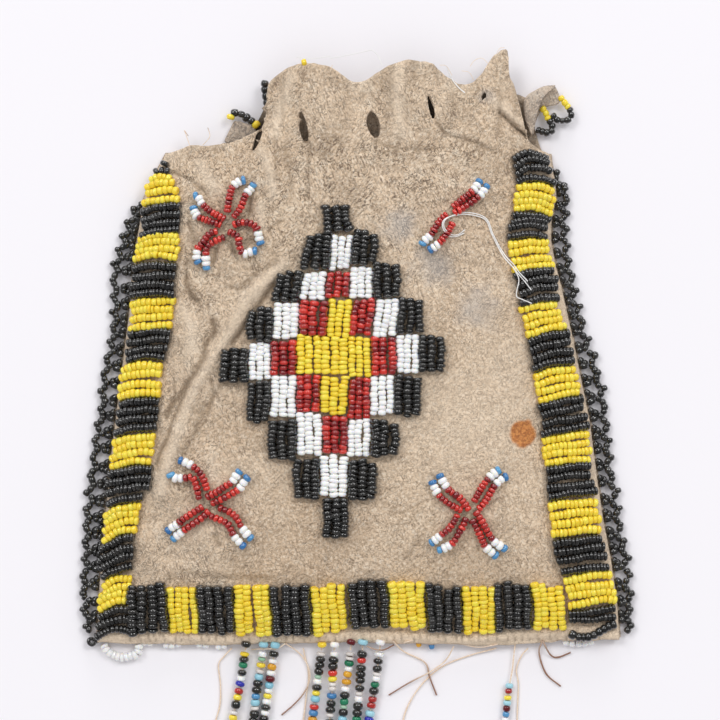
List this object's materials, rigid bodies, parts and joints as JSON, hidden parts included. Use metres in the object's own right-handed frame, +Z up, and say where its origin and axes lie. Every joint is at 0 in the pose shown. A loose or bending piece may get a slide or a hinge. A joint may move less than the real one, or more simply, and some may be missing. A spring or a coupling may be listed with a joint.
{
  "type": "beaded bag",
  "caption": "Flat hide pouch with a fold-over neck, striped lanes and a stepped diamond of sewn beads, a net edging, and strings of beads hanging from the hem.",
  "frame": {"origin": "the middle of the back hide's outer face, on which the bag lies", "axes": "+Y from the hem towards the mouth, +Z up out of the beaded front, +X to the right seen from the front"},
  "size_m": [0.1505, 0.201, 0.0129],
  "materials": {
    "buckskin": "napped, matt, specked with age",
    "black_beads": "opaque, shiny",
    "yellow_beads": "opaque, greasy shine",
    "white_beads": "opaque, shiny",
    "red_beads": "clear red over white, shiny",
    "blue_beads": "opaque, shiny",
    "sinew": "dry, matt",
    "cotton": "soft, matt"
  },
  "bodies": {
    "root": {"back_hide": "buckskin", "front_hide": "buckskin", "left_lane": "black_beads", "right_lane": "black_beads", "bottom_lane": "black_beads", "diamond_lane_1": "black_beads", "diamond_lane_2": "white_beads", "diamond_lane_3": "white_beads", "diamond_lane_4": "red_beads", "diamond_lane_5": "yellow_beads", "diamond_lane_6": "red_beads", "diamond_lane_7": "white_beads", "diamond_lane_8": "white_beads", "diamond_lane_9": "black_beads", "figure_upper_left_arm_1": "red_beads", "figure_upper_left_arm_2": "red_beads", "figure_upper_left_arm_3": "red_beads", "figure_upper_left_arm_4": "red_beads", "figure_upper_right_arm_1": "red_beads", "figure_upper_right_arm_2": "red_beads", "figure_lower_left_arm_1": "red_beads", "figure_lower_left_arm_2": "red_beads", "figure_lower_left_arm_3": "red_beads", "figure_lower_left_arm_4": "red_beads", "figure_lower_right_arm_1": "red_beads", "figure_lower_right_arm_2": "red_beads", "figure_lower_right_arm_3": "red_beads", "figure_lower_right_arm_4": "red_beads", "left_edging": "black_beads", "right_edging": "black_beads", "left_ear_loop": "black_beads", "neck_side_beads": "black_beads", "right_ear_outer_loop": "black_beads", "right_ear_inner_loop": "black_beads", "corner_loop": "white_beads", "left_hem_edging": "white_beads", "right_hem_edging": "white_beads", "loose_row": "black_beads", "sinew_end_1": "sinew", "sinew_end_2": "sinew", "sinew_end_3": "sinew", "sinew_end_4": "sinew", "cotton_thread": "cotton"},
    "neck": {"front_neck": "buckskin"},
    "strand_1": {"fringe_strand_1": "black_beads"},
    "strand_2": {"fringe_strand_2": "blue_beads"},
    "strand_3": {"fringe_strand_3": "blue_beads"},
    "strand_4": {"fringe_strand_4": "black_beads"},
    "strand_5": {"fringe_strand_5": "black_beads"},
    "strand_6": {"fringe_strand_6": "black_beads"},
    "strand_7": {"fringe_strand_7": "black_beads"},
    "strand_8": {"fringe_strand_8": "white_beads"},
    "strand_9": {"fringe_strand_9": "blue_beads"}
  },
  "joints": [
    {"name": "neck_fold", "type": "hinge", "parent": "root", "child": "neck", "pos_m": [0, 0.05783, 0.0104], "axis": [1, 0, 0], "range_deg": [0, 75]},
    {"name": "strand_1_swing", "type": "hinge", "parent": "root", "child": "strand_1", "pos_m": [-0.03132, -0.07976, 0.00135], "axis": [-1, 0, 0], "range_deg": [0, 70]},
    {"name": "strand_2_swing", "type": "hinge", "parent": "root", "child": "strand_2", "pos_m": [-0.02645, -0.07976, 0.00135], "axis": [-1, 0, 0], "range_deg": [0, 70]},
    {"name": "strand_3_swing", "type": "hinge", "parent": "root", "child": "strand_3", "pos_m": [-0.02331, -0.07976, 0.00135], "axis": [-1, 0, 0], "range_deg": [0, 70]},
    {"name": "strand_4_swing", "type": "hinge", "parent": "root", "child": "strand_4", "pos_m": [-0.01058, -0.07976, 0.00135], "axis": [-1, 0, 0], "range_deg": [0, 70]},
    {"name": "strand_5_swing", "type": "hinge", "parent": "root", "child": "strand_5", "pos_m": [-0.00701, -0.07976, 0.00135], "axis": [-1, 0, 0], "range_deg": [0, 70]},
    {"name": "strand_6_swing", "type": "hinge", "parent": "root", "child": "strand_6", "pos_m": [-0.00272, -0.07976, 0.00135], "axis": [-1, 0, 0], "range_deg": [0, 70]},
    {"name": "strand_7_swing", "type": "hinge", "parent": "root", "child": "strand_7", "pos_m": [0.00057, -0.07976, 0.00135], "axis": [-1, 0, 0], "range_deg": [0, 70]},
    {"name": "strand_8_swing", "type": "hinge", "parent": "root", "child": "strand_8", "pos_m": [0.00515, -0.07976, 0.00135], "axis": [-1, 0, 0], "range_deg": [0, 70]},
    {"name": "strand_9_swing", "type": "hinge", "parent": "root", "child": "strand_9", "pos_m": [0.04176, -0.07976, 0.00095], "axis": [-1, 0, 0], "range_deg": [0, 70]}
  ]
}
